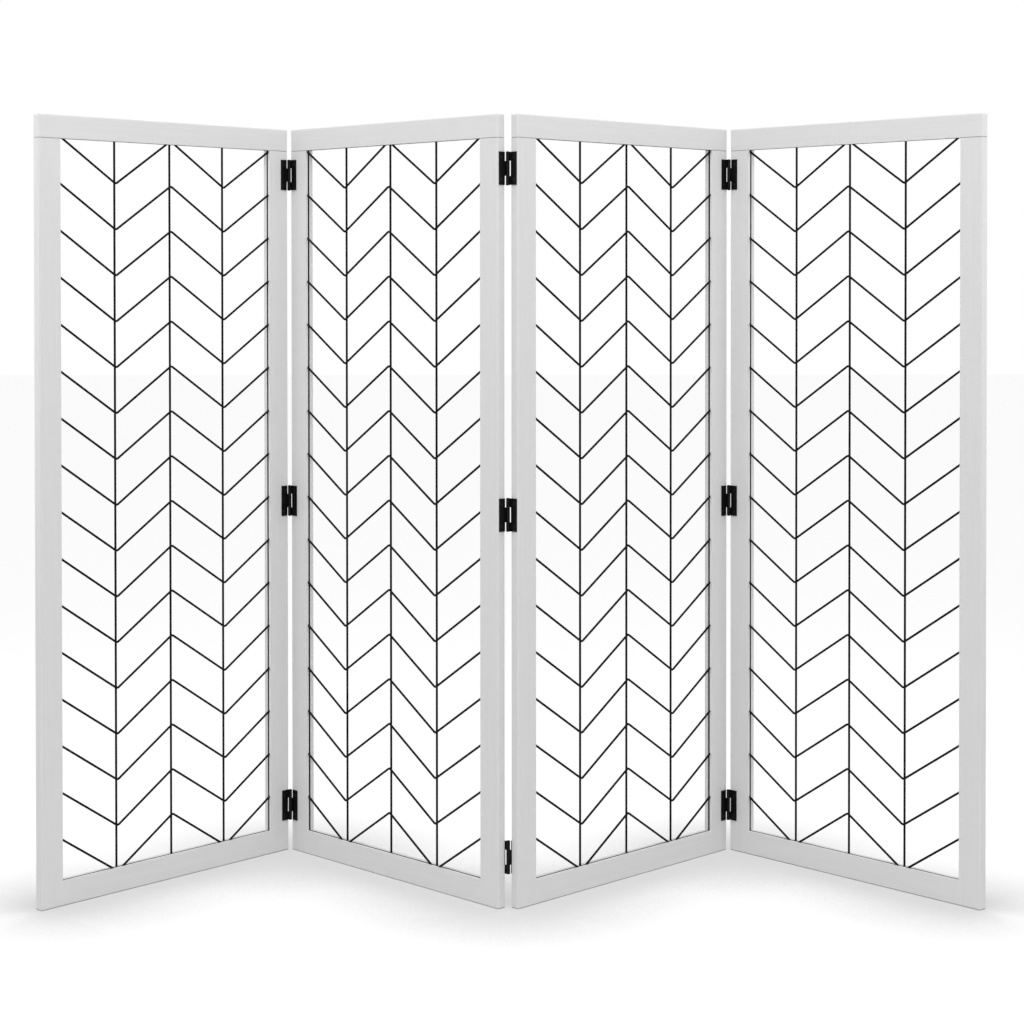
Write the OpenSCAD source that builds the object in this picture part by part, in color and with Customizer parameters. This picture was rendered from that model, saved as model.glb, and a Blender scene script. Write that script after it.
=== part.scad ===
// Freestanding pet gate: four framed wire panels that fold on nine butt hinges.
// The gate stands in a zigzag. Panel 1 is at the left, seen from the front, and
// the front is toward -Y. Hinges 1 and 3 are the valleys, hinge 2 is the ridge.

/* [Panels] */
// Width of one panel
panel_w = 508; // [320:1:800]
// Height of the gate
gate_h = 1219.2; // [700:0.1:1600]
// Thickness of the frame
frame_t = 15; // [14:0.5:24]
// Width of a stile
stile_w = 40; // [32:1:70]
// Height of the top rail, which lies across the stiles
top_rail_h = 36; // [24:1:60]
// Height of the bottom rail, which is held between the stiles
bottom_rail_h = 39; // [34:1:60]
// Radius of the eased outer edges
edge_r = 2; // [0.5:0.25:3]
// Radius of the eased edges round the opening
inner_edge_r = 0.5; // [0.3:0.1:2]
// Width of the V-groove that shows where a stile meets the top rail
joint_groove = 1.2; // [0.6:0.1:2]

/* [Dowels] */
// Diameter of a dowel
dowel_d = 6; // [4:0.5:8]
// Length of a dowel, half of it in each piece
dowel_l = 30; // [20:1:40]
// Distance between the two dowels of a corner
dowel_gap = 14; // [10:1:18]

/* [Wire grille] */
// Diameter of the wire
wire_d = 3.5; // [2:0.25:4]
// Depth of the grille's middle behind the fronts of the rails
grille_depth = 6.2; // [5:0.1:8]
// Distance between uprights, which is half a wave of a chevron
upright_gap = 110.7; // [60:0.1:160]
// Angle of a chevron's arms to the level
chevron_angle = 33; // [20:0.5:45]
// Height from one chevron to the next
chevron_pitch = 72.3; // [50:0.1:120]
// Depth of the first chevron's valleys below the top rail
first_valley = 65.2; // [45:0.1:70]
// Radius of a chevron's bends, to the middle of the wire
bend_r = 5.5; // [4:0.5:12]
// Distance that the grille is set over toward the valley hinge
grille_shift = 5.7; // [0:0.1:12]
// Distance that the border wire stands out of its groove
border_proud = 0.3; // [0:0.1:1]
// Radius of the border wire's corners, to the middle of the wire
border_bend_r = 4; // [3:0.5:8]

/* [Hinges] */
// Height of a hinge
hinge_h = 50.8; // [40:0.1:76]
// Width of a leaf, from the pin's middle to its free edge
leaf_w = 16; // [14:0.5:17]
// Thickness of a leaf
leaf_t = 1.2; // [0.8:0.1:1.6]
// Radius of the knuckles
knuckle_r = 2.95; // [2.6:0.05:2.95]
// Height of the middle knuckle
middle_knuckle_h = 22.8; // [12:0.2:26]
// Gap between one knuckle and the next
knuckle_gap = 0.2; // [0.1:0.05:0.5]
// Radius of a pin
pin_r = 1.5; // [1:0.05:1.8]
// Radius of a pin's domed ends
pin_head_r = 2.3; // [2:0.05:2.6]
// Height of a pin's domed ends
pin_head_h = 0.9; // [0.5:0.1:1.5]
// Width of the slit between a leaf and the other leaf's knuckles
knuckle_slit = 1.2; // [0.5:0.1:2.5]
// Distance of a valley hinge's pin in front of the panels
valley_front = 3; // [3:0.05:4]
// Distance of a valley hinge's pin beyond the end of a panel
valley_out = 0.9; // [0.5:0.1:2]
// Distance of the ridge hinge's pin behind the panels and beyond their ends
ridge_off = 3.3; // [3:0.05:4]

/* [Hinge heights] */
// Height of the bottom valley hinges
valley_bottom_z = 77; // [70:0.5:110]
// Height of the middle valley hinges
valley_middle_z = 593; // [300:1:640]
// Distance of the top valley hinges below the top of the gate
valley_top_drop = 76.2; // [72:0.1:110]
// Height of the bottom ridge hinge
ridge_bottom_z = 78; // [70:0.5:110]
// Height of the middle ridge hinge
ridge_middle_z = 605; // [300:1:640]
// Distance of the top ridge hinge below the top of the gate
ridge_top_drop = 83.2; // [72:0.1:110]

/* [Hinge screws] */
// Distance of a hinge's screws from the pin's middle
screw_out = 10.5; // [9.5:0.1:11.5]
// Height between the two screws of a leaf
screw_span = 34; // [20:1:38]
// Radius of a screw's head
screw_head_r = 2.7; // [2.2:0.1:3]
// Radius of a screw's shank
screw_r = 1.4; // [1:0.1:1.6]
// Length of a screw below its head
screw_l = 10; // [6:0.5:11]
// Width of the slots of a screw's cross recess
cross_w = 0.7; // [0.4:0.1:1]
// Length of the slots of a screw's cross recess
cross_l = 3.2; // [2:0.1:3.6]

/* [Standing angles] */
// Turn of panel 1 from the gate's length
turn_1 = 47.8; // [35:0.1:60]
// Turn of panel 2 from the gate's length
turn_2 = 46.3; // [35:0.1:60]
// Turn of panel 3 from the gate's length
turn_3 = 45.7; // [35:0.1:60]
// Turn of panel 4 from the gate's length
turn_4 = 47.1; // [35:0.1:60]

/* [Hidden] */
// Gap round what fits in a bore or a groove, and between crossing wires
fit_gap = 0.05;
// Length that a cut runs past a face
cut = 1;
$fn = 48;

panel_parts = [
    "top_rail", "bottom_rail", "left_stile", "right_stile",
    "border_wire", "upright_wires", "chevron_wires", "dowels", "hinge_screws"
];
levels = ["bottom", "middle", "top"];
sides = ["left", "right"];
panel_count = 4;
hinge_count = panel_count - 1;
NODES = [
    for (p = [1:panel_count], part = panel_parts) str("panel_", p, "_", part),
    for (h = [1:hinge_count], level = levels, side = sides) str("hinge_", h, "_", level, "_", side, "_leaf"),
    for (h = [1:hinge_count]) str("hinge_", h, "_pins")
];
node = "all";
function shown(name) = node == "all" || node == name;

// Heights and sizes inside a panel
rail_z = gate_h - top_rail_h;
opening_w = panel_w - 2 * stile_w;
opening_h = rail_z - bottom_rail_h;
mid_y = frame_t / 2;
groove_w = wire_d + 2 * fit_gap;
groove_deep = wire_d - border_proud + fit_gap;
border_inset = wire_d / 2 - border_proud;
wire_layer = wire_d / 2 + fit_gap / 2;
grille_trim = border_proud + fit_gap;

// A chevron's sharp corners are chevron_rise apart in height and arm_l apart along an arm.
// Its bends cut them by corner_cut, are thicker than the arms by bend_swell and reach
// bend_lap degrees over each arm.
chevron_rise = upright_gap * tan(chevron_angle);
corner_cut = bend_r / cos(chevron_angle) - bend_r;
tangent_l = bend_r * tan(chevron_angle);
arm_l = upright_gap / cos(chevron_angle);
bend_swell = 0.02;
bend_lap = 1.5;
chevron_top = chevron_rise - 2 * corner_cut;
chevron_count = floor((opening_h - first_valley + chevron_top) / chevron_pitch) + 1;
uprights_each_side = floor((opening_w / 2 - grille_shift - wire_d) / upright_gap);

// Hinge pins in a panel's own plan, at its left or right end
valley_left = [-valley_out, -valley_front];
valley_right = [panel_w + valley_out, -valley_front];
ridge_left = [-ridge_off, frame_t + ridge_off];
ridge_right = [panel_w + ridge_off, frame_t + ridge_off];
valley_z = [valley_bottom_z, valley_middle_z, gate_h - valley_top_drop];
ridge_z = [ridge_bottom_z, ridge_middle_z, gate_h - ridge_top_drop];
outer_knuckle_h = (hinge_h - middle_knuckle_h) / 2 - knuckle_gap;

function is_ridge(h) = h == 2;
function hinge_z(h, level) = is_ridge(h) ? ridge_z[level] : valley_z[level];
function seat(h) = is_ridge(h) ? ridge_off : valley_front;

// The side whose leaf has the two outer knuckles, for hinges 1 to 3 and from the bottom up
outer_sides = [
    ["left", "right", "right"],
    ["left", "right", "right"],
    ["right", "right", "left"]
];

// The panels stand round the ridge pin, each one hung on its neighbour's pin
angles = [turn_1, -turn_2, turn_3, -turn_4];
function spun(v, a) = [v.x * cos(a) - v.y * sin(a), v.x * sin(a) + v.y * cos(a)];
corner_2 = -spun(ridge_right, angles[1]);
corner_1 = corner_2 + spun(valley_left, angles[1]) - spun(valley_right, angles[0]);
corner_3 = -spun(ridge_left, angles[2]);
corner_4 = corner_3 + spun(valley_right, angles[2]) - spun(valley_left, angles[3]);
corners = [corner_1, corner_2, corner_3, corner_4];
edge_middles = [
    for (i = [0:3], x = [edge_r, panel_w - edge_r], y = [edge_r, frame_t - edge_r])
        corners[i] + spun([x, y], angles[i])
];
plan_x = [for (v = edge_middles) v.x];
plan_y = [for (v = edge_middles) v.y];
plan_middle = [(min(plan_x) + max(plan_x)) / 2, (min(plan_y) + max(plan_y)) / 2];

// Puts what is drawn in a panel's own place where that panel stands.
// There x runs along the panel, y is the depth behind its front and z is the height.
module in_panel(p) {
    translate(corners[p - 1] - plan_middle) rotate(angles[p - 1]) children();
}

// A rectangle with eased corners, of radius low at its foot and high at its head
module eased_rect(w, h, low = edge_r, high = edge_r) {
    translate([low, 0]) square([w - 2 * low, h - high]);
    translate([high, low]) square([w - 2 * high, h - low]);
    translate([0, low]) square([w, h - low - high]);
    for (x = [low, w - low]) translate([x, low]) circle(low);
    for (x = [high, w - high]) translate([x, h - high]) circle(high);
}

// A prism of the children's outline, drawn in x and z and running back from the front
module front_prism(depth) {
    translate([0, depth, 0]) rotate([90, 0, 0]) linear_extrude(depth) children();
}

// A bar along x with eased edges and square ends
module rail_bar(length, height, low = edge_r, high = edge_r) {
    rotate([90, 0, 90]) linear_extrude(length) eased_rect(frame_t, height, low, high);
}

// The left stile's own section, from the floor up
module stile_bar(height) {
    linear_extrude(height) mirror([1, -1]) eased_rect(frame_t, stile_w, edge_r, inner_edge_r);
}

// The cutter for the V-groove round the joint of the left stile and the top rail
module joint_vee() {
    half = joint_groove / 2;
    vee = [[-cut, -half - cut], [half, 0], [-cut, half + cut]];
    for (side = [0, 1]) translate([0, side * frame_t, rail_z]) mirror([0, side, 0]) {
        translate([edge_r, 0, 0]) rotate([90, 0, 90]) linear_extrude(stile_w - edge_r + cut) polygon(vee);
        translate([edge_r, edge_r, 0]) rotate(180) rotate_extrude(angle = 90)
            polygon([for (v = vee) [edge_r - v.x, v.y]]);
    }
    translate([0, frame_t - edge_r, rail_z]) rotate([90, 0, 0])
        linear_extrude(frame_t - 2 * edge_r) polygon(vee);
}

// The left stile. Its inner edges are eased above the bottom rail and square beside it.
module stile_blank() {
    difference() {
        union() {
            intersection() {
                stile_bar(rail_z);
                rail_bar(stile_w, gate_h);
                front_prism(frame_t) eased_rect(panel_w, gate_h);
            }
            translate([stile_w / 2, 0, 0]) rail_bar(stile_w / 2, bottom_rail_h, edge_r, inner_edge_r);
        }
        translate([stile_w - groove_deep, grille_depth - groove_w / 2, bottom_rail_h - groove_deep])
            cube([groove_deep + cut, groove_w, rail_z]);
        joint_vee();
        dowel_holes();
    }
}

module left_stile(p) {
    color("white") difference() {
        stile_blank();
        pilot_holes(p);
    }
}

module right_stile(p) {
    color("white") difference() {
        translate([panel_w, 0, 0]) mirror([1, 0, 0]) stile_blank();
        pilot_holes(p);
    }
}

// The top rail caps the stiles, so its lower edges are eased between them only
module top_rail() {
    color("white") difference() {
        union() {
            intersection() {
                translate([0, 0, rail_z]) rail_bar(panel_w, top_rail_h, inner_edge_r, edge_r);
                translate([0, 0, rail_z]) linear_extrude(top_rail_h) eased_rect(panel_w, frame_t);
                front_prism(frame_t) eased_rect(panel_w, gate_h);
            }
            both_ends() translate([0, 0, rail_z]) stile_bar(top_rail_h / 2);
        }
        translate([stile_w - groove_deep, grille_depth - groove_w / 2, rail_z - cut])
            cube([opening_w + 2 * groove_deep, groove_w, groove_deep + cut]);
        both_ends() {
            joint_vee();
            dowel_holes();
        }
    }
}

module bottom_rail() {
    color("white") difference() {
        translate([stile_w, 0, 0]) rail_bar(opening_w, bottom_rail_h, edge_r, inner_edge_r);
        translate([0, grille_depth - groove_w / 2, bottom_rail_h - groove_deep])
            cube([panel_w, groove_w, groove_deep + cut]);
        both_ends() dowel_holes();
    }
}

// Draws the children at the left end of a panel and mirrored at its right end
module both_ends() {
    children();
    translate([panel_w, 0, 0]) mirror([1, 0, 0]) children();
}

// The four dowels of a panel's left end: two upright under the top rail, two level in the bottom rail
module at_dowels() {
    top_x = (stile_w - groove_deep - dowel_gap) / 2;
    bottom_z = (bottom_rail_h - groove_deep - dowel_gap) / 2;
    for (i = [0, 1]) {
        translate([top_x + i * dowel_gap, mid_y, rail_z]) children();
        translate([stile_w, mid_y, bottom_z + i * dowel_gap]) rotate([0, 90, 0]) children();
    }
}

module dowel_holes() {
    at_dowels() cylinder(d = dowel_d + 2 * fit_gap, h = dowel_l + 2 * fit_gap, center = true);
}

// A dowel with bevelled ends
module dowel() {
    bevel = dowel_d / 8;
    rotate_extrude() polygon([
        [0, -dowel_l / 2], [dowel_d / 2 - bevel, -dowel_l / 2], [dowel_d / 2, bevel - dowel_l / 2],
        [dowel_d / 2, dowel_l / 2 - bevel], [dowel_d / 2 - bevel, dowel_l / 2], [0, dowel_l / 2]
    ]);
}

module dowels() {
    color("burlywood") both_ends() at_dowels() dowel();
}

// The border wire is one bent wire in the groove round the opening
module border_wire() {
    half_w = opening_w / 2 + border_inset;
    half_h = opening_h / 2 + border_inset;
    straight_w = half_w - border_bend_r;
    straight_h = half_h - border_bend_r;
    color("black") translate([panel_w / 2, grille_depth, bottom_rail_h + opening_h / 2]) rotate([90, 0, 0]) {
        for (m = [0, 1], n = [0, 1]) mirror([m, 0, 0]) mirror([0, n, 0])
            translate([straight_w, straight_h, 0]) rotate_extrude(angle = 90)
                translate([border_bend_r, 0]) circle(d = wire_d);
        for (side = [-1, 1]) {
            translate([side * half_w, -straight_h, 0]) rotate([-90, 0, 0])
                cylinder(d = wire_d, h = 2 * straight_h);
            translate([-straight_w, side * half_h, 0]) rotate([0, 90, 0])
                cylinder(d = wire_d, h = 2 * straight_w);
        }
    }
}

function grille_x(p) = panel_w / 2 + (p % 2 == 1 ? grille_shift : -grille_shift);

// The uprights lie behind the chevrons, and both end on the border wire
module upright_wires(p) {
    color("black") for (k = [-uprights_each_side:uprights_each_side])
        translate([grille_x(p) + k * upright_gap, grille_depth + wire_layer, bottom_rail_h + grille_trim])
            cylinder(d = wire_d, h = opening_h - 2 * grille_trim);
}

// Draws the children at sharp corner k of a zigzag. Corner 0 is a peak in the
// grille's middle, and the children are turned over at the valleys.
module at_corner(k) {
    peak = k % 2 == 0;
    translate([k * upright_gap, peak ? chevron_rise : 0]) mirror([0, peak ? 0 : 1, 0]) children();
}

// The bend over a peak. It swells a little, and so takes in the ends of its two arms.
module bend() {
    half_turn = chevron_angle + bend_lap;
    translate([0, -bend_r / cos(chevron_angle)]) rotate(90 - half_turn)
        rotate_extrude(angle = 2 * half_turn) translate([bend_r, 0]) circle(wire_d / 2 + bend_swell);
}

// A straight arm that falls to the right of a peak, between two distances from the sharp corner
module arm(from, to) {
    rotate(-chevron_angle) translate([from, 0]) rotate([0, 90, 0]) cylinder(d = wire_d, h = to - from);
}

// One zigzag wire with bends at corners first to last. Its end arms run past the opening.
module zigzag(first, last) {
    for (k = [first:last]) at_corner(k) bend();
    for (k = [first - 1:last]) at_corner(k)
        arm(k < first ? -wire_d : tangent_l, k < last ? arm_l - tangent_l : arm_l + wire_d);
}

module chevron_wires(p) {
    first = -floor((grille_x(p) - stile_w) / upright_gap);
    last = floor((panel_w - stile_w - grille_x(p)) / upright_gap);
    color("black") for (row = [0:chevron_count - 1]) intersection() {
        translate([stile_w + grille_trim, 0, bottom_rail_h + grille_trim])
            cube([opening_w - 2 * grille_trim, frame_t, opening_h - 2 * grille_trim]);
        translate([grille_x(p), grille_depth - wire_layer, rail_z - first_valley - corner_cut - row * chevron_pitch])
            rotate([90, 0, 0]) zigzag(first, last);
    }
}

// Puts a leaf on its panel. In a leaf's own place the pin is the z axis, the leaf
// runs along +x and the wood that it is screwed to is on its +y side.
module at_leaf(h, level, side) {
    z = hinge_z(h, level);
    if (!is_ridge(h) && side == "left") translate([valley_right.x, valley_right.y, z]) mirror([1, 0, 0]) children();
    if (!is_ridge(h) && side == "right") translate([valley_left.x, valley_left.y, z]) children();
    // The bottom ridge hinge lies on the backs of the panels, the others on their ends
    if (is_ridge(h) && side == "left") translate([ridge_right.x, ridge_right.y, z])
        if (level == 0) rotate(180) children();
        else mirror([1, 0, 0]) rotate(-90) children();
    if (is_ridge(h) && side == "right") translate([ridge_left.x, ridge_left.y, z])
        if (level == 0) mirror([0, 1, 0]) children();
        else rotate(-90) children();
}

// The lower ends and the heights of a leaf's knuckles
function knuckles(outer) = outer
    ? [[-hinge_h / 2, outer_knuckle_h], [hinge_h / 2 - outer_knuckle_h, outer_knuckle_h]]
    : [[-middle_knuckle_h / 2, middle_knuckle_h]];

module leaf(h, level, side) {
    plate_x = knuckle_r + knuckle_slit;
    plate_y = seat(h) - leaf_t;
    color("black") difference() {
        union() {
            translate([plate_x, plate_y, -hinge_h / 2]) cube([leaf_w - plate_x, leaf_t, hinge_h]);
            for (k = knuckles(outer_sides[h - 1][level] == side)) translate([0, 0, k[0]]) {
                cylinder(r = knuckle_r, h = k[1]);
                translate([0, plate_y, 0]) cube([plate_x + cut, leaf_t, k[1]]);
            }
        }
        cylinder(r = pin_r + fit_gap, h = hinge_h + 2 * cut, center = true);
        at_screw_pair() translate([0, plate_y, 0]) rotate([-90, 0, 0])
            cylinder(r1 = screw_head_r + fit_gap, r2 = screw_r + fit_gap, h = leaf_t);
    }
}

module at_screw_pair() {
    for (z = [-screw_span / 2, screw_span / 2]) translate([screw_out, 0, z]) children();
}

// Places the children at each hinge screw of a panel, with z = 0 on the wood and +z into it
module at_screws(p) {
    for (level = [0:2], side = sides) {
        h = side == "left" ? p : p - 1;
        if (h >= 1 && h <= hinge_count) at_leaf(h, level, side) at_screw_pair()
            translate([0, seat(h), 0]) rotate([-90, 0, 0]) children();
    }
}

// A countersunk screw with a cross recess and a pointed end
module screw() {
    difference() {
        rotate_extrude() polygon([
            [0, -leaf_t], [screw_head_r, -leaf_t], [screw_r, 0],
            [screw_r, screw_l - 2 * screw_r], [screw_r / 5, screw_l], [0, screw_l]
        ]);
        for (a = [0, 90]) rotate(a)
            translate([-cross_l / 2, -cross_w / 2, -leaf_t - cut]) cube([cross_l, cross_w, leaf_t / 2 + cut]);
    }
}

module hinge_screws(p) {
    color("black") at_screws(p) screw();
}

module pilot_holes(p) {
    at_screws(p) translate([0, 0, -cut]) cylinder(r = screw_r + fit_gap, h = screw_l + fit_gap + cut);
}

// A domed end of a pin, standing on z = 0
module pin_head() {
    ball_r = (pin_head_r * pin_head_r + pin_head_h * pin_head_h) / (2 * pin_head_h);
    intersection() {
        translate([0, 0, pin_head_h - ball_r]) sphere(ball_r);
        cylinder(r = ball_r, h = pin_head_h + cut);
    }
}

module pins(h) {
    half = hinge_h / 2 + fit_gap;
    color("black") for (level = [0:2]) at_leaf(h, level, "left") {
        cylinder(r = pin_r, h = 2 * half, center = true);
        for (end = [0, 1]) mirror([0, 0, end]) translate([0, 0, half]) pin_head();
    }
}

for (p = [1:panel_count]) in_panel(p) {
    if (shown(str("panel_", p, "_top_rail"))) top_rail();
    if (shown(str("panel_", p, "_bottom_rail"))) bottom_rail();
    if (shown(str("panel_", p, "_left_stile"))) left_stile(p);
    if (shown(str("panel_", p, "_right_stile"))) right_stile(p);
    if (shown(str("panel_", p, "_border_wire"))) border_wire();
    if (shown(str("panel_", p, "_upright_wires"))) upright_wires(p);
    if (shown(str("panel_", p, "_chevron_wires"))) chevron_wires(p);
    if (shown(str("panel_", p, "_dowels"))) dowels();
    if (shown(str("panel_", p, "_hinge_screws"))) hinge_screws(p);
}
for (h = [1:hinge_count], level = [0:2], side = sides)
    in_panel(side == "left" ? h : h + 1) at_leaf(h, level, side)
        if (shown(str("hinge_", h, "_", levels[level], "_", side, "_leaf"))) leaf(h, level, side);
for (h = [1:hinge_count])
    in_panel(h) if (shown(str("hinge_", h, "_pins"))) pins(h);
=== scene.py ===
import math

import bpy
import numpy as np
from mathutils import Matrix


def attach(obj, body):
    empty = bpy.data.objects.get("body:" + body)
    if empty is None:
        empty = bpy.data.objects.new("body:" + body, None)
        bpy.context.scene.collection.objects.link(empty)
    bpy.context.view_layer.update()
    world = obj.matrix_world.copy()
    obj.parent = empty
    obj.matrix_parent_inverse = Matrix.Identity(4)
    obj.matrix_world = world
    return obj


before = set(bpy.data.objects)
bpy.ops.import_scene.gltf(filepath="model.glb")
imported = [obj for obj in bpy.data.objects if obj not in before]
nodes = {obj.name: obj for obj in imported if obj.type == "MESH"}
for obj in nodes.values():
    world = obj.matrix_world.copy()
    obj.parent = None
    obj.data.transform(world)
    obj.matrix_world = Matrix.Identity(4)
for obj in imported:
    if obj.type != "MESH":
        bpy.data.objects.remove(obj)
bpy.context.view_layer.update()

# The view: a long lens near chest height, three and a half metres in front of
# the ridge and tipped down by less than a degree. The picture is 1024 pixels
# square, and the lens is shifted down to frame the gate.
PICTURE_PX = 1024
FOCAL_PX = 2244.9
AXIS_X_PX = 507.2
AXIS_Y_PX = 317.0
TIPPED_DOWN = math.radians(0.848)
ROLLED = math.radians(0.037)
EYE = (-0.0051, -3.6122, 0.9594)

eye_lens = bpy.data.cameras.new("gate_view")
eye_lens.sensor_width = 36.0
eye_lens.lens = FOCAL_PX / PICTURE_PX * eye_lens.sensor_width
eye_lens.shift_x = 0.5 - AXIS_X_PX / PICTURE_PX
eye_lens.shift_y = AXIS_Y_PX / PICTURE_PX - 0.5
eye_lens.clip_end = 60.0
camera = bpy.data.objects.new("gate_view", eye_lens)
camera.location = EYE
camera.rotation_euler = (math.radians(90) - TIPPED_DOWN, ROLLED, 0)
bpy.context.scene.collection.objects.link(camera)
bpy.context.scene.camera = camera
bpy.context.scene.view_settings.view_transform = "Standard"

# The floor: a pale seamless studio floor under soft light. Seen directly it glows
# white, apart from the gate's own shadow and a painted shade round whatever
# stands on it: the glow is dimmed by ambient occlusion, so the painted shade goes wherever the panels are
# swung.
FLOOR_REACH = 20.0
FLOOR_TONE = 0.8
SEEN_FLOOR_TONE = 0.3
FLOOR_ROUGHNESS = 0.9
EVEN_LIFT = 0.46
SHADE_LIFT = 0.32
SHADE_REACH = 0.26
SHADE_POWER = 14.0
SHADE_SAMPLES = 16


def new_material(name):
    """An empty node material with its node tree and its Principled shader."""
    material = bpy.data.materials.new(name)
    material.use_nodes = True
    tree = material.node_tree
    return material, tree, tree.nodes["Principled BSDF"]


def worked_out(tree, operation, *terms):
    """What a math node makes of its terms, each a number or another node's output."""
    node = tree.nodes.new("ShaderNodeMath")
    node.operation = operation
    for socket, term in zip(node.inputs, terms):
        if isinstance(term, float):
            socket.default_value = term
        else:
            tree.links.new(term, socket)
    return node.outputs[0]


def ranged(tree, value, low, high, start=0.0, end=1.0):
    """A value that goes from low to high while the given one goes from start to end, and no further."""
    node = tree.nodes.new("ShaderNodeMapRange")
    node.inputs["From Min"].default_value = start
    node.inputs["From Max"].default_value = end
    node.inputs["To Min"].default_value = low
    node.inputs["To Max"].default_value = high
    tree.links.new(value, node.inputs["Value"])
    return node.outputs["Result"]


def mesh_piece(name, points, faces):
    """A mesh object made from arrays of points in metres and of face corners."""
    mesh = bpy.data.meshes.new(name)
    mesh.from_pydata(points, [], faces)
    mesh.update()
    piece = bpy.data.objects.new(name, mesh)
    bpy.context.scene.collection.objects.link(piece)
    return piece


floor_corners = np.array([[-1, -1, 0], [1, -1, 0], [1, 1, 0], [-1, 1, 0]]) * FLOOR_REACH
floor = mesh_piece("studio_floor", floor_corners, [(0, 1, 2, 3)])
floor_paint, tree, shader = new_material("studio_floor")
shader.inputs["Roughness"].default_value = FLOOR_ROUGHNESS
shader.inputs["Specular IOR Level"].default_value = 0.0
seen = tree.nodes.new("ShaderNodeLightPath").outputs["Is Camera Ray"]
tree.links.new(ranged(tree, seen, FLOOR_TONE, SEEN_FLOOR_TONE), shader.inputs["Base Color"])
# Painted shade: the floor's glow is dimmed by ambient occlusion near the gate, darkening the floor round its
# feet.
open_air = tree.nodes.new("ShaderNodeAmbientOcclusion")
open_air.samples = SHADE_SAMPLES
open_air.inputs["Distance"].default_value = SHADE_REACH
clear_of_gate = worked_out(tree, "POWER", open_air.outputs["AO"], SHADE_POWER)
strength = worked_out(tree, "MULTIPLY_ADD", clear_of_gate, SHADE_LIFT, EVEN_LIFT)
lift = tree.nodes.new("ShaderNodeEmission")
tree.links.new(worked_out(tree, "MULTIPLY", seen, strength), lift.inputs["Strength"])
total = tree.nodes.new("ShaderNodeAddShader")
tree.links.new(shader.outputs[0], total.inputs[0])
tree.links.new(lift.outputs[0], total.inputs[1])
tree.links.new(total.outputs[0], tree.nodes["Material Output"].inputs["Surface"])
floor.data.materials.append(floor_paint)

# The studio light: one broad soft box high in front of the gate, weak ones at
# both sides and behind, and an even white surround. The surround is seen as
# plain white, directly and in gloss, and lights the gate less than it shows.
SURROUND = 0.60
LIT_POINT = (0, 0, 0.7)
TOP_LIGHT_PLACE = (0, -1.6, 3.0)
TOP_LIGHT_SIZE = (2.5, 1.2)
TOP_LIGHT_W = 36.0
SIDE_LIGHT_PLACE = (1.34, -0.19, 1.1)
SIDE_LIGHT_SIZE = (0.5, 1.2)
SIDE_LIGHT_W = 1.9
BACK_LIGHT_PLACE = (1.84, 1.84, 1.4)
BACK_LIGHT_SIZE = (1.0, 1.4)
BACK_LIGHT_W = 2.0

world = bpy.data.worlds.new("studio")
bpy.context.scene.world = world
world.use_nodes = True
tree = world.node_tree
background = tree.nodes["Background"]
background.inputs["Color"].default_value = (1, 1, 1, 1)
path = tree.nodes.new("ShaderNodeLightPath")
seen = worked_out(tree, "MAXIMUM", path.outputs["Is Camera Ray"], path.outputs["Is Glossy Ray"])
tree.links.new(ranged(tree, seen, SURROUND, 1.0), background.inputs["Strength"])


def soft_box(name, place, size, watts):
    """A rectangular area light at place, turned toward the lit point."""
    lamp = bpy.data.lights.new(name, "AREA")
    lamp.shape = "RECTANGLE"
    lamp.size, lamp.size_y = size
    lamp.energy = watts
    holder = bpy.data.objects.new(name, lamp)
    holder.location = place
    way = np.subtract(LIT_POINT, place)
    turn = math.atan2(way[1], way[0]) - math.pi / 2
    tilt = math.atan2(math.hypot(way[0], way[1]), -way[2])
    holder.rotation_euler = (tilt, 0, turn)
    bpy.context.scene.collection.objects.link(holder)


soft_box("top_soft_box", TOP_LIGHT_PLACE, TOP_LIGHT_SIZE, TOP_LIGHT_W)
for side in (-1, 1):
    soft_box("side_soft_box", np.multiply(SIDE_LIGHT_PLACE, (side, 1, 1)), SIDE_LIGHT_SIZE, SIDE_LIGHT_W)
    soft_box("back_soft_box", np.multiply(BACK_LIGHT_PLACE, (side, 1, 1)), BACK_LIGHT_SIZE, BACK_LIGHT_W)

# The frames: sanded softwood sprayed satin white. Each panel has two stiles, a
# top rail across them and a bottom rail between. The grain shows faintly through
# the paint, and a line of painted shade darkens the foot and the V-groove above each stile.
PANEL_TURNS = {1: 47.8, 2: -46.3, 3: 45.7, 4: -47.1}
TOP_RAIL_Z = 1.1832
PAINT_TONE = 0.80
GRAIN_TONE = 0.96 * PAINT_TONE
PAINT_ROUGHNESS = 0.5
PAINT_IOR = 1.45
ACROSS_GRAIN = 260
ALONG_GRAIN = 9
GRAIN_DETAIL = 5.0
GRAIN_ROUGHNESS = 0.6
GRAIN_START = 0.3
GRAIN_END = 0.7
GRAIN_BUMP = 0.25
GRAIN_BUMP_H = 0.0002
SPRAY_SCALE = 900.0
SPRAY_BUMP = 0.1
FINE_BUMP_H = 0.0001
# Painted shade: how dark the paint is made at the foot and in the V-groove, and over what heights.
FOOT_PAINTED_SHADE_TONE = 0.3
FOOT_PAINTED_SHADE_START = 0.0008
FOOT_PAINTED_SHADE_END = 0.002
GROOVE_PAINTED_SHADE_TONE = 0.35
GROOVE_PAINTED_SHADE_FOOT = 0.0008
GROOVE_PAINTED_SHADE_FULL = 0.00064


def noise(tree, place, scale, detail=2.0, roughness=0.5):
    """Even noise of one scale over a place, from 0 to 1."""
    node = tree.nodes.new("ShaderNodeTexNoise")
    node.inputs["Scale"].default_value = scale
    node.inputs["Detail"].default_value = detail
    node.inputs["Roughness"].default_value = roughness
    tree.links.new(place, node.inputs["Vector"])
    return node.outputs["Fac"]


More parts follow.
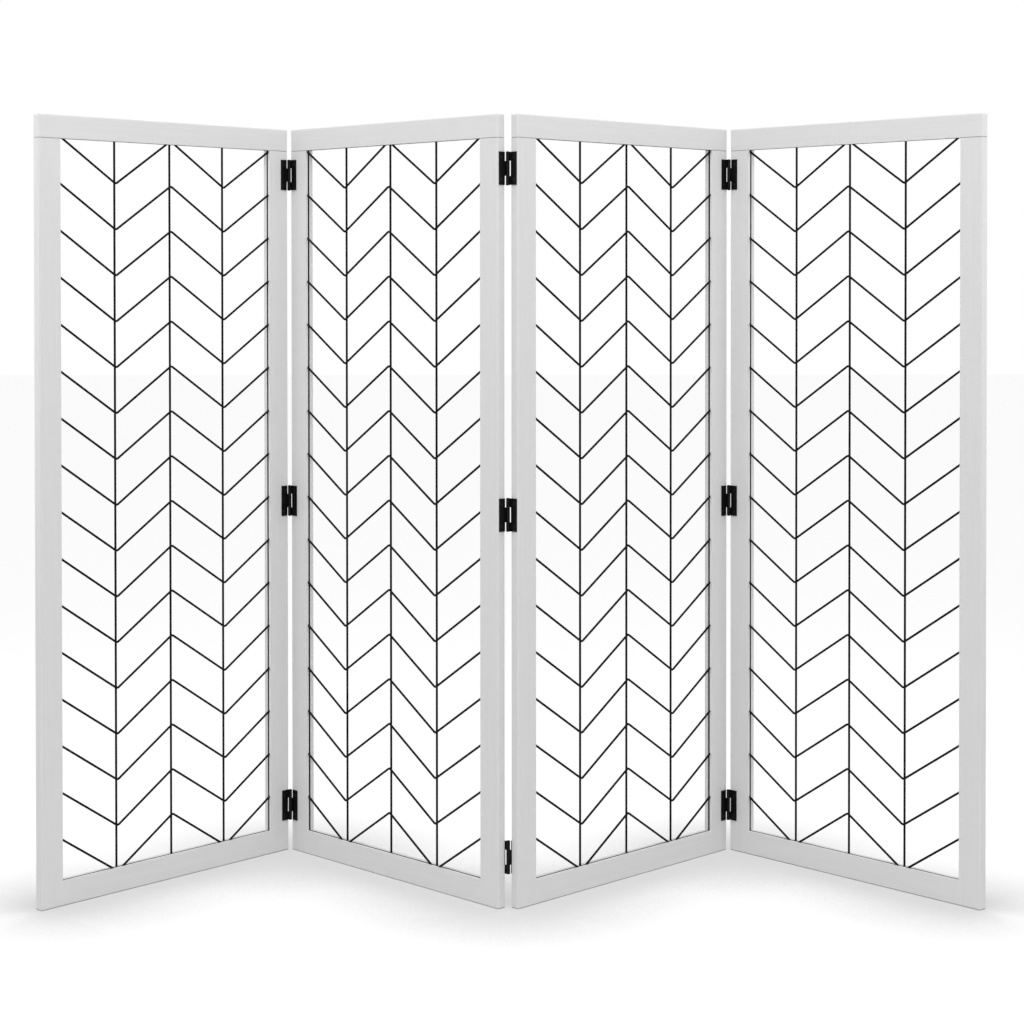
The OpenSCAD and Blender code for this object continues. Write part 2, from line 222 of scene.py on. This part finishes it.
def coloured(tree, value, dark, pale, start=0.0, end=1.0):
    """A colour that goes from dark to pale while the value goes from start to end."""
    ramp = tree.nodes.new("ShaderNodeValToRGB")
    for element, position, colour in zip(ramp.color_ramp.elements, (start, end), (dark, pale)):
        element.position = position
        element.color = (*colour, 1)
    tree.links.new(value, ramp.inputs["Fac"])
    return ramp.outputs["Color"]


def bumped(tree, height, strength, distance, under=None):
    """A surface's direction after a bump of some height, laid over one from an earlier bump."""
    node = tree.nodes.new("ShaderNodeBump")
    node.inputs["Strength"].default_value = strength
    node.inputs["Distance"].default_value = distance
    tree.links.new(height, node.inputs["Height"])
    if under:
        tree.links.new(under, node.inputs["Normal"])
    return node.outputs["Normal"]


def painted_wood(name, turn, upright):
    """Satin paint over wood with its grain up a stile or along a rail, for a panel turned by some degrees,
    with painted shade at its foot and, on a stile, in the V-groove.
    """
    material, tree, shader = new_material(name)
    place = tree.nodes.new("ShaderNodeTexCoord").outputs["Object"]
    along = tree.nodes.new("ShaderNodeMapping")
    along.inputs["Rotation"].default_value = (0, 0, math.radians(-turn))
    tree.links.new(place, along.inputs["Vector"])
    stretch = tree.nodes.new("ShaderNodeMapping")
    grain_scale = [ALONG_GRAIN, ACROSS_GRAIN, ACROSS_GRAIN]
    stretch.inputs["Scale"].default_value = grain_scale[::-1] if upright else grain_scale
    tree.links.new(along.outputs["Vector"], stretch.inputs["Vector"])
    grain = noise(tree, stretch.outputs["Vector"], 1.0, GRAIN_DETAIL, GRAIN_ROUGHNESS)
    tone = coloured(tree, grain, [GRAIN_TONE] * 3, [PAINT_TONE] * 3, GRAIN_START, GRAIN_END)
    height = tree.nodes.new("ShaderNodeSeparateXYZ")
    tree.links.new(place, height.inputs["Vector"])
    # Painted shade: the paint darkens over the lowest two millimetres, where the frame meets the floor.
    painted_shade_factor = ranged(tree, height.outputs["Z"], FOOT_PAINTED_SHADE_TONE, 1.0, FOOT_PAINTED_SHADE_START, FOOT_PAINTED_SHADE_END)
    # Painted shade: on a stile the paint darkens over its top 0.8 mm, in the V-groove under the top rail.
    if upright:
        from_z = TOP_RAIL_Z - GROOVE_PAINTED_SHADE_FOOT
        to_z = TOP_RAIL_Z - GROOVE_PAINTED_SHADE_FULL
        groove = ranged(tree, height.outputs["Z"], 1.0, GROOVE_PAINTED_SHADE_TONE, from_z, to_z)
        painted_shade_factor = worked_out(tree, "MULTIPLY", painted_shade_factor, groove)
    shaded_paint = tree.nodes.new("ShaderNodeVectorMath")
    shaded_paint.operation = "SCALE"
    tree.links.new(tone, shaded_paint.inputs[0])
    tree.links.new(painted_shade_factor, shaded_paint.inputs["Scale"])
    tree.links.new(shaded_paint.outputs["Vector"], shader.inputs["Base Color"])
    grain_bump = bumped(tree, grain, GRAIN_BUMP, GRAIN_BUMP_H)
    spray_bump = bumped(tree, noise(tree, place, SPRAY_SCALE), SPRAY_BUMP, FINE_BUMP_H, grain_bump)
    tree.links.new(spray_bump, shader.inputs["Normal"])
    shader.inputs["Roughness"].default_value = PAINT_ROUGHNESS
    shader.inputs["IOR"].default_value = PAINT_IOR
    return material


def finish_node(node, material):
    """Gives a solid its finish in place of the plain one."""
    slots = nodes[node].data.materials
    slots.clear()
    slots.append(material)


for panel, turn in PANEL_TURNS.items():
    stile_paint = painted_wood(f"stile_paint_{panel}", turn, True)
    rail_paint = painted_wood(f"rail_paint_{panel}", turn, False)
    for side in ("left", "right"):
        finish_node(f"panel_{panel}_{side}_stile", stile_paint)
    for end in ("top", "bottom"):
        finish_node(f"panel_{panel}_{end}_rail", rail_paint)

# The dowels: plain beech pegs glued into the corners of the frames. Nothing
# shows of them once the frames are together.
BEECH_DARK = (0.42, 0.27, 0.14)
BEECH_PALE = (0.62, 0.45, 0.28)
BEECH_ROUGHNESS = 0.8
PORE_SCALE = 700.0

dowel_beech, tree, shader = new_material("dowel_beech")
place = tree.nodes.new("ShaderNodeTexCoord").outputs["Object"]
tone = coloured(tree, noise(tree, place, PORE_SCALE), BEECH_DARK, BEECH_PALE)
tree.links.new(tone, shader.inputs["Base Color"])
shader.inputs["Roughness"].default_value = BEECH_ROUGHNESS
for panel in PANEL_TURNS:
    finish_node(f"panel_{panel}_dowels", dowel_beech)

# The grille: 3.5 mm steel wire, bent, welded and powder coated black. The border
# wire lies in its groove, the uprights and chevrons end on it, and the coat
# has the faint orange peel of baked powder.
COAT_DARK = (0.001, 0.001, 0.001)
COAT_PALE = (0.004, 0.004, 0.004)
COAT_ROUGHNESS = 0.6
COAT_GLOSS = 0.12
PEEL_SCALE = 1400.0
PEEL_BUMP = 0.15

wire_coat, tree, shader = new_material("wire_coat")
place = tree.nodes.new("ShaderNodeTexCoord").outputs["Object"]
peel = noise(tree, place, PEEL_SCALE)
tree.links.new(coloured(tree, peel, COAT_DARK, COAT_PALE), shader.inputs["Base Color"])
tree.links.new(bumped(tree, peel, PEEL_BUMP, FINE_BUMP_H), shader.inputs["Normal"])
shader.inputs["Roughness"].default_value = COAT_ROUGHNESS
shader.inputs["Specular IOR Level"].default_value = COAT_GLOSS
for panel in PANEL_TURNS:
    for part in ("border_wire", "upright_wires", "chevron_wires"):
        finish_node(f"panel_{panel}_{part}", wire_coat)

# The welds: the wires are spot welded where a chevron's bend crosses an upright
# and where a wire ends on the border wire. Each weld leaves a small bead under
# the same black coat, and a panel's beads are one piece.
PANEL_W = 0.508
PANEL_T = 0.015
EDGE_R = 0.002
VALLEY_PIN_OUT = 0.0009
VALLEY_PIN_FRONT = 0.003
RIDGE_PIN_OFF = 0.0033
STILE_W = 0.040
BOTTOM_RAIL_Z = 0.039
GRILLE_DEPTH = 0.0062
GRILLE_SHIFT = 0.0057
UPRIGHT_GAP = 0.1107
CHEVRON_PITCH = 0.0723
CHEVRON_ROWS = 16
CHEVRON_ANGLE = math.radians(33)
FIRST_VALLEY = 0.0652
BEND_R = 0.0055
WIRE_R = 0.00175
END_GAP = 0.00035
BEAD_RADII = (0.0020, 0.0013, 0.0023)
BEAD_RINGS = 4
BEAD_AROUND = 8


def bead_spots(panel):
    """A panel's weld places, in its own plan: five to a chevron row, and the uprights' ends."""
    middle = PANEL_W / 2 + (GRILLE_SHIFT if panel % 2 else -GRILLE_SHIFT)
    rise = UPRIGHT_GAP * math.tan(CHEVRON_ANGLE)
    corner_cut = BEND_R / math.cos(CHEVRON_ANGLE) - BEND_R
    valley_z = TOP_RAIL_Z - FIRST_VALLEY - CHEVRON_PITCH * np.arange(CHEVRON_ROWS)
    peak_z = valley_z - 2 * corner_cut + rise
    ends_x = np.array([STILE_W + END_GAP, PANEL_W - STILE_W - END_GAP])
    outer_peaks_x = middle + np.array([-2, 2]) * UPRIGHT_GAP
    ends_drop = np.abs(ends_x - outer_peaks_x) * math.tan(CHEVRON_ANGLE) - corner_cut
    columns_x = middle + UPRIGHT_GAP * np.array([-1, 0, 1])
    columns = [(columns_x[0], valley_z), (columns_x[1], peak_z), (columns_x[2], valley_z)]
    columns += [(ends_x[0], peak_z - ends_drop[0]), (ends_x[1], peak_z - ends_drop[1])]
    x = np.concatenate([np.full(CHEVRON_ROWS, column[0]) for column in columns])
    z = np.concatenate([column[1] for column in columns])
    y = np.where(np.isin(x, ends_x), GRILLE_DEPTH - WIRE_R, GRILLE_DEPTH)
    inside = (z > BOTTOM_RAIL_Z + WIRE_R) & (z < TOP_RAIL_Z - WIRE_R)
    spots = np.stack([x, y, z], axis=1)[inside]
    ends_z = np.repeat([TOP_RAIL_Z, BOTTOM_RAIL_Z], 3)
    upright_ends = np.stack([np.tile(columns_x, 2), np.full(6, GRILLE_DEPTH + WIRE_R / 2), ends_z], axis=1)
    return np.concatenate([spots, upright_ends])


def beads(spots):
    """Points and faces of closed ellipsoids round the spots, each of a few rings and two poles."""
    height = np.linspace(0, math.pi, BEAD_RINGS + 2)[1:-1, None]
    round_it = np.linspace(0, 2 * math.pi, BEAD_AROUND, endpoint=False)[None, :]
    rings = np.stack(
        [np.sin(height) * np.cos(round_it), np.sin(height) * np.sin(round_it), np.cos(height) + 0 * round_it],
        axis=-1,
    ).reshape(-1, 3)
    shell = np.concatenate([rings, [[0, 0, 1], [0, 0, -1]]]) * BEAD_RADII
    points = (spots[:, None, :] + shell[None, :, :]).reshape(-1, 3)
    base = np.arange(len(spots)) * len(shell)
    step = np.arange(BEAD_AROUND)
    after = (step + 1) % BEAD_AROUND
    ring = (np.arange(BEAD_RINGS - 1) * BEAD_AROUND)[:, None]
    bands = np.stack(
        [ring + step, ring + BEAD_AROUND + step, ring + BEAD_AROUND + after, ring + after], axis=-1
    ).reshape(-1, 4)
    last = (BEAD_RINGS - 1) * BEAD_AROUND
    top = np.stack([np.full(BEAD_AROUND, len(rings)), step, after], axis=-1)
    foot = np.stack([np.full(BEAD_AROUND, len(rings) + 1), last + after, last + step], axis=-1)
    four_sided = (base[:, None, None] + bands[None]).reshape(-1, 4)
    three_sided = (base[:, None, None] + np.concatenate([top, foot])[None]).reshape(-1, 3)
    return points, four_sided.tolist() + three_sided.tolist()


def turned(panel, x, y):
    """Places in a panel's own plan, turned the way that the panel stands."""
    turn = math.radians(PANEL_TURNS[panel])
    return np.array([x * math.cos(turn) - y * math.sin(turn), x * math.sin(turn) + y * math.cos(turn)])


def panel_corners():
    """Each panel's front left corner: a panel hangs on its neighbour's pin, and the gate is centred."""
    valley_right = PANEL_W + VALLEY_PIN_OUT
    ridge_y = PANEL_T + RIDGE_PIN_OFF
    corners = {2: -turned(2, PANEL_W + RIDGE_PIN_OFF, ridge_y), 3: -turned(3, -RIDGE_PIN_OFF, ridge_y)}
    valley_1 = corners[2] + turned(2, -VALLEY_PIN_OUT, -VALLEY_PIN_FRONT)
    valley_3 = corners[3] + turned(3, valley_right, -VALLEY_PIN_FRONT)
    corners[1] = valley_1 - turned(1, valley_right, -VALLEY_PIN_FRONT)
    corners[4] = valley_3 - turned(4, -VALLEY_PIN_OUT, -VALLEY_PIN_FRONT)
    edge_middles = [
        corners[panel] + turned(panel, x, y)
        for panel in PANEL_TURNS
        for x in (EDGE_R, PANEL_W - EDGE_R)
        for y in (EDGE_R, PANEL_T - EDGE_R)
    ]
    middle = (np.min(edge_middles, axis=0) + np.max(edge_middles, axis=0)) / 2
    return {panel: corner - middle for panel, corner in corners.items()}


corners = panel_corners()
for panel in PANEL_TURNS:
    bead_points, bead_faces = beads(bead_spots(panel))
    bead_points[:, :2] = corners[panel] + turned(panel, bead_points[:, 0], bead_points[:, 1]).T
    welds = mesh_piece(f"panel_{panel}_welds", bead_points, bead_faces)
    welds.data.shade_smooth()
    welds.data.materials.append(wire_coat)
    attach(welds, f"panel_{panel}")

# The hinges: narrow steel butt hinges in satin black, three to each joint
# between panels. Each has two leaves whose knuckles turn on a domed pin, and
# two countersunk black screws hold each leaf to the wood.
LEVELS = ("bottom", "middle", "top")
LEAF_DARK = (0.002, 0.002, 0.002)
LEAF_PALE = (0.007, 0.007, 0.007)
LEAF_ROUGHNESS = (0.34, 0.5)
LEAF_GLOSS = 0.15
SCUFF_SCALE = 500.0
SCUFF_DETAIL = 4.0
SCUFF_BUMP = 0.12
PLATING_DARK = (0.02, 0.02, 0.02)
PLATING_PALE = (0.06, 0.06, 0.06)
PLATING_START = 0.35
PLATING_END = 0.75
PLATING_ROUGHNESS = (0.25, 0.42)
PLATING_METAL = 0.8
PLATING_SCALE = 1100.0
PLATING_DETAIL = 3.0

hinge_black, tree, shader = new_material("hinge_black")
place = tree.nodes.new("ShaderNodeTexCoord").outputs["Object"]
scuffs = noise(tree, place, SCUFF_SCALE, SCUFF_DETAIL)
tree.links.new(coloured(tree, scuffs, LEAF_DARK, LEAF_PALE), shader.inputs["Base Color"])
tree.links.new(ranged(tree, scuffs, *LEAF_ROUGHNESS), shader.inputs["Roughness"])
tree.links.new(bumped(tree, scuffs, SCUFF_BUMP, FINE_BUMP_H), shader.inputs["Normal"])
shader.inputs["Specular IOR Level"].default_value = LEAF_GLOSS

screw_black, tree, shader = new_material("screw_black")
place = tree.nodes.new("ShaderNodeTexCoord").outputs["Object"]
plating = noise(tree, place, PLATING_SCALE, PLATING_DETAIL)
tone = coloured(tree, plating, PLATING_DARK, PLATING_PALE, PLATING_START, PLATING_END)
tree.links.new(tone, shader.inputs["Base Color"])
tree.links.new(ranged(tree, plating, *PLATING_ROUGHNESS), shader.inputs["Roughness"])
shader.inputs["Metallic"].default_value = PLATING_METAL

for hinge in (1, 2, 3):
    finish_node(f"hinge_{hinge}_pins", screw_black)
    for level_name in LEVELS:
        for side in ("left", "right"):
            finish_node(f"hinge_{hinge}_{level_name}_{side}_leaf", hinge_black)
for panel in PANEL_TURNS:
    finish_node(f"panel_{panel}_hinge_screws", screw_black)
